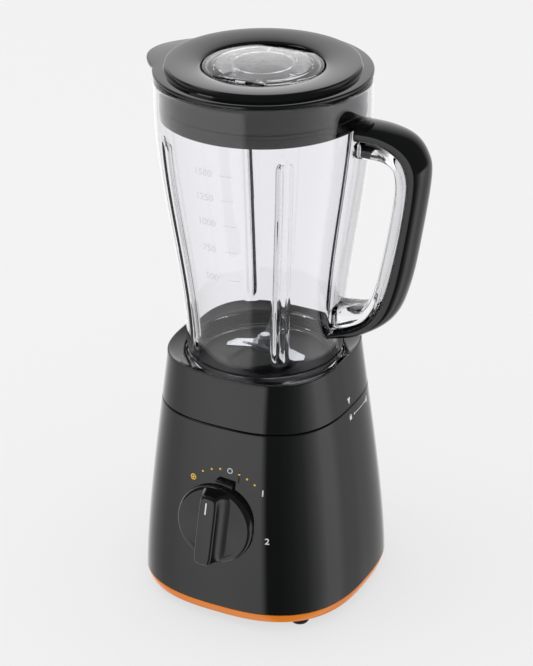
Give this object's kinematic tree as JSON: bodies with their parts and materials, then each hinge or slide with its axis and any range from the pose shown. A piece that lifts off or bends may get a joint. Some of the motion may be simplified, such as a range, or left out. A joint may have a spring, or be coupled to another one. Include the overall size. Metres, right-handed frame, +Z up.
{
  "type": "countertop blender",
  "caption": "Countertop blender with a tapered rounded-square power unit, rotary dial, twist-on blade collar, clear fluted goblet with handle, lid and filler cap.",
  "frame": {"origin": "the point on the standing surface under the drive axis", "axes": "+Z up along the drive axis, -Y out of the dial's face, +X towards the goblet's handle"},
  "size_m": [0.2145, 0.1981, 0.4045],
  "materials": {
    "gloss_black_abs": "high-gloss moulded",
    "knob_black_abs": "satin-gloss moulded",
    "orange_trim": "gloss moulded",
    "black_plastic": "matt moulded",
    "black_rubber": "moulded",
    "grey_seal": "moulded silicone",
    "zinc_steel": "zinc plated",
    "cast_bracket": "die cast",
    "lamination_steel": "stacked laminations",
    "copper": "enamelled wire and bars",
    "bronze": "sintered",
    "brown_phenolic": "moulded phenolic",
    "carbon": "pressed carbon",
    "cream_plastic": "moulded nylon",
    "circuit_board": "lacquered board",
    "board_components": "moulded components",
    "wire_sleeve": "sleeved wire",
    "turned_steel": "turned and polished",
    "blade_steel": "stamped and ground",
    "clear_copolyester": "clear moulded"
  },
  "bodies": {
    "power_unit": {"casing": "gloss_black_abs", "trim_ring": "orange_trim", "base_plate": "black_plastic", "feet": "black_rubber", "base_screws": "zinc_steel", "cord_gland": "black_plastic", "motor_upper_bracket": "cast_bracket", "motor_lower_bracket": "cast_bracket", "motor_bolts": "zinc_steel", "motor_mounts": "black_rubber", "motor_mount_screws": "zinc_steel", "stator_core": "lamination_steel", "field_coils": "copper", "upper_bearing": "bronze", "lower_bearing": "bronze", "brush_holders": "brown_phenolic", "carbon_brushes": "carbon", "speed_switch": "cream_plastic", "control_board": "circuit_board", "board_parts": "board_components", "board_screws": "zinc_steel", "interlock_switch": "black_plastic", "interlock_screws": "zinc_steel", "interlock_spring": "zinc_steel", "wiring": "wire_sleeve"},
    "rotor": {"motor_shaft": "turned_steel", "armature_core": "lamination_steel", "armature_winding": "copper", "commutator": "copper", "cooling_fan": "black_plastic", "drive_dog": "black_plastic"},
    "plunger": {"interlock_plunger": "cream_plastic"},
    "dial": {"knob": "knob_black_abs", "knob_shaft": "turned_steel"},
    "collar": {"collar": "gloss_black_abs", "blade_carrier": "black_plastic", "carrier_screws": "zinc_steel", "goblet_seal": "grey_seal", "blade_bushes": "bronze", "shaft_seal": "black_rubber"},
    "blade_set": {"blade_shaft": "turned_steel", "driven_dog": "black_plastic", "blade_spacer": "turned_steel", "lower_blades": "blade_steel", "upper_blades": "blade_steel", "blade_nut": "turned_steel"},
    "goblet": {"goblet": "clear_copolyester", "handle_cover": "gloss_black_abs"},
    "lid": {"lid": "gloss_black_abs", "lid_seal": "black_rubber"},
    "cap": {"filler_cap": "clear_copolyester"}
  },
  "joints": [
    {"name": "motor_spin", "type": "hinge", "parent": "power_unit", "child": "rotor", "pos_m": [0, 0, 0.1], "axis": [0, 0, 1], "continuous": true},
    {"name": "blade_spin", "type": "hinge", "parent": "collar", "child": "blade_set", "pos_m": [0, 0, 0.17], "axis": [0, 0, 1], "continuous": true},
    {"name": "dial_turn", "type": "hinge", "parent": "power_unit", "child": "dial", "pos_m": [0.0066, -0.07788, 0.088], "axis": [0, -0.9938, 0.1111], "range_deg": [-109.8, 52.7]},
    {"name": "twist_lock", "type": "hinge", "parent": "power_unit", "child": "collar", "pos_m": [0, 0, 0.16], "axis": [0, 0, 1], "range_deg": [0, 22.6]},
    {"name": "plunger_rise", "type": "slide", "parent": "power_unit", "child": "plunger", "axis": [0, 0, 1], "range_m": [0, 0.0025]},
    {"name": "goblet_lift", "type": "slide", "parent": "collar", "child": "goblet", "axis": [0, 0, 1], "range_m": [0, 0.12]},
    {"name": "lid_lift", "type": "slide", "parent": "goblet", "child": "lid", "axis": [0, 0, 1], "range_m": [0, 0.06]},
    {"name": "cap_lift", "type": "slide", "parent": "lid", "child": "cap", "axis": [0, 0, 1], "range_m": [0, 0.04]}
  ],
  "couplings": [
    {"joint": "blade_spin", "follows": "motor_spin", "ratio": 1},
    {"joint": "plunger_rise", "follows": "twist_lock", "m_per_rad": 0.006338}
  ]
}
